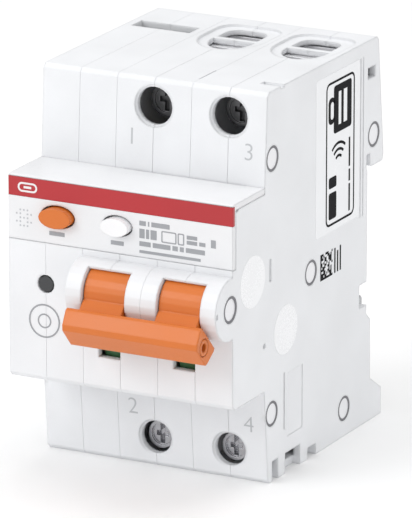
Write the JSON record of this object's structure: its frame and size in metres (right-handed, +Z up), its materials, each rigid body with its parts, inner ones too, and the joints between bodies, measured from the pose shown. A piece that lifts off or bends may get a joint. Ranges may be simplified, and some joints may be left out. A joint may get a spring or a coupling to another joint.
{
  "type": "residual current and arc fault circuit breaker",
  "caption": "Modular rail-mounted breaker with linked orange toggle levers, two test buttons, flag windows and screw terminals for a phase and a neutral pole.",
  "frame": {"origin": "on the base, under the middle of the bounding box", "axes": "+X across the modules from the sensor module to the neutral pole, +Y from the front to the rail, +Z up"},
  "size_m": [0.0524, 0.0828, 0.085],
  "materials": {
    "housing": "light grey moulded plastic, fine satin grain",
    "cover": "light grey moulded plastic, smoother than the housing",
    "red": "red, semi-gloss",
    "orange": "orange, semi-gloss, fine grain",
    "white": "white, semi-gloss",
    "dark": "dark tinted lens",
    "green": "dark green, printed",
    "steel": "zinc-plated steel",
    "rivet": "bright plated steel",
    "tinned": "tin-plated, satin",
    "brass": "satin brass",
    "copper": "bare copper",
    "board": "green solder mask",
    "ferrite": "dark wound core",
    "clip": "grey moulded plastic"
  },
  "bodies": {
    "housing": {"housing_m1_left": "housing", "housing_m1_right": "housing", "housing_m2_left": "housing", "housing_m2_right": "housing", "housing_m3_left": "housing", "housing_m3_right": "housing", "front_cover": "cover", "red_strip": "red", "status_window": "dark", "status_led": "white", "toggle_axle": "rivet", "top_terminal_plate_phase": "tinned", "top_terminal_plate_neutral": "tinned", "fixed_contact_phase": "copper", "fixed_contact_neutral": "copper", "contact_pin_phase": "steel", "contact_pin_neutral": "steel", "arc_chute_phase": "steel", "arc_chute_neutral": "steel", "short_circuit_coil": "copper", "bimetal_strip": "brass", "circuit_board": "board", "summation_transformer": "ferrite", "sensor_lead_phase": "copper", "sensor_lead_neutral": "copper", "trip_solenoid": "copper", "rivet_upper_front": "rivet", "rivet_upper_back": "rivet", "rivet_middle": "rivet", "rivet_lower_front": "rivet", "rivet_lower_back": "rivet", "rail_clip_spring_left": "steel", "rail_clip_spring_right": "steel", "arc_test_button_spring": "steel", "residual_test_button_spring": "steel"},
    "handle": {"tie_bar": "orange", "toggle_lever_phase": "orange", "toggle_lever_neutral": "orange"},
    "links": {"link_phase": "steel", "link_neutral": "steel"},
    "contact_arms": {"moving_contact_phase": "copper", "moving_contact_neutral": "copper"},
    "position_flags": {"position_flag_phase": "green", "position_flag_neutral": "green"},
    "arc_button": {"arc_test_button": "orange"},
    "residual_button": {"residual_test_button": "white"},
    "rail_clip_left": {"rail_clip_left": "clip"},
    "rail_clip_right": {"rail_clip_right": "clip"},
    "short_circuit_plunger": {"short_circuit_plunger": "steel"},
    "trip_plunger": {"trip_plunger": "steel"},
    "trip_bar": {"trip_bar": "white"},
    "top_screw_phase": {"top_screw_phase": "steel"},
    "top_clamp_phase": {"top_clamp_phase": "tinned"},
    "top_screw_neutral": {"top_screw_neutral": "steel"},
    "top_clamp_neutral": {"top_clamp_neutral": "tinned"},
    "bottom_screw_phase": {"bottom_screw_phase": "steel"},
    "bottom_clamp_phase": {"bottom_clamp_phase": "tinned"},
    "bottom_screw_neutral": {"bottom_screw_neutral": "steel"},
    "bottom_clamp_neutral": {"bottom_clamp_neutral": "tinned"}
  },
  "joints": [
    {"name": "toggle_hinge", "type": "hinge", "parent": "housing", "child": "handle", "pos_m": [0.00875, -0.0301, 0.043], "axis": [-1, 0, 0], "range_deg": [0, 66]},
    {"name": "link_hinge", "type": "hinge", "parent": "handle", "child": "links", "pos_m": [0.00875, -0.0226, 0.047], "axis": [1, 0, 0], "range_deg": [0, 86.9]},
    {"name": "contact_hinge", "type": "hinge", "parent": "housing", "child": "contact_arms", "pos_m": [0.00875, -0.0025, 0.046], "axis": [-1, 0, 0], "range_deg": [0, 9.8]},
    {"name": "flag_hinge", "type": "hinge", "parent": "housing", "child": "position_flags", "pos_m": [0.00875, -0.0188, 0.0302], "axis": [1, 0, 0], "range_deg": [0, 36.1]},
    {"name": "arc_button_slide", "type": "slide", "parent": "housing", "child": "arc_button", "axis": [0, 1, 0], "range_m": [0, 0.0014], "stiffness_N_per_m": 600, "deforming": ["arc_test_button_spring"]},
    {"name": "residual_button_slide", "type": "slide", "parent": "housing", "child": "residual_button", "axis": [0, 1, 0], "range_m": [0, 0.0014], "stiffness_N_per_m": 600, "deforming": ["residual_test_button_spring"]},
    {"name": "rail_clip_left_slide", "type": "slide", "parent": "housing", "child": "rail_clip_left", "axis": [0, 0, -1], "range_m": [0, 0.003], "stiffness_N_per_m": 1500, "deforming": ["rail_clip_spring_left"]},
    {"name": "rail_clip_right_slide", "type": "slide", "parent": "housing", "child": "rail_clip_right", "axis": [0, 0, -1], "range_m": [0, 0.003], "stiffness_N_per_m": 1500, "deforming": ["rail_clip_spring_right"]},
    {"name": "top_screw_phase_turn", "type": "hinge", "parent": "housing", "child": "top_screw_phase", "pos_m": [0, -0.0085, 0.079], "axis": [0, 1, 0], "range_deg": [0, 2161]},
    {"name": "top_clamp_phase_slide", "type": "slide", "parent": "housing", "child": "top_clamp_phase", "axis": [0, -1, 0], "range_m": [0, 0.0048]},
    {"name": "top_screw_neutral_turn", "type": "hinge", "parent": "housing", "child": "top_screw_neutral", "pos_m": [0.0175, -0.0085, 0.079], "axis": [0, 1, 0], "range_deg": [0, 2161]},
    {"name": "top_clamp_neutral_slide", "type": "slide", "parent": "housing", "child": "top_clamp_neutral", "axis": [0, -1, 0], "range_m": [0, 0.0048]},
    {"name": "bottom_screw_phase_turn", "type": "hinge", "parent": "housing", "child": "bottom_screw_phase", "pos_m": [0, -0.0108, 0.0065], "axis": [0, 1, 0], "range_deg": [0, 2161]},
    {"name": "bottom_clamp_phase_slide", "type": "slide", "parent": "housing", "child": "bottom_clamp_phase", "axis": [0, -1, 0], "range_m": [0, 0.0048]},
    {"name": "bottom_screw_neutral_turn", "type": "hinge", "parent": "housing", "child": "bottom_screw_neutral", "pos_m": [0.0175, -0.0108, 0.0065], "axis": [0, 1, 0], "range_deg": [0, 2161]},
    {"name": "bottom_clamp_neutral_slide", "type": "slide", "parent": "housing", "child": "bottom_clamp_neutral", "axis": [0, -1, 0], "range_m": [0, 0.0048]},
    {"name": "short_circuit_slide", "type": "slide", "parent": "housing", "child": "short_circuit_plunger", "axis": [0, -1, 0], "range_m": [0, 0.003], "stiffness_N_per_m": 400},
    {"name": "trip_plunger_slide", "type": "slide", "parent": "housing", "child": "trip_plunger", "axis": [0, 1, 0], "range_m": [0, 0.0015], "stiffness_N_per_m": 300},
    {"name": "trip_bar_hinge", "type": "hinge", "parent": "housing", "child": "trip_bar", "pos_m": [0, -0.0095, 0.0575], "axis": [1, 0, 0], "range_deg": [0, 8.3]}
  ],
  "couplings": [
    {"joint": "link_hinge", "follows": "toggle_hinge", "ratio": 1.3166},
    {"joint": "contact_hinge", "follows": "toggle_hinge", "ratio": 0.1484},
    {"joint": "flag_hinge", "follows": "toggle_hinge", "ratio": 0.5454},
    {"joint": "top_screw_phase_turn", "follows": "top_clamp_phase_slide", "rad_per_m": 7854},
    {"joint": "top_screw_neutral_turn", "follows": "top_clamp_neutral_slide", "rad_per_m": 7854},
    {"joint": "bottom_screw_phase_turn", "follows": "bottom_clamp_phase_slide", "rad_per_m": 7854},
    {"joint": "bottom_screw_neutral_turn", "follows": "bottom_clamp_neutral_slide", "rad_per_m": 7854},
    {"joint": "trip_bar_hinge", "follows": "trip_plunger_slide", "rad_per_m": 95}
  ]
}
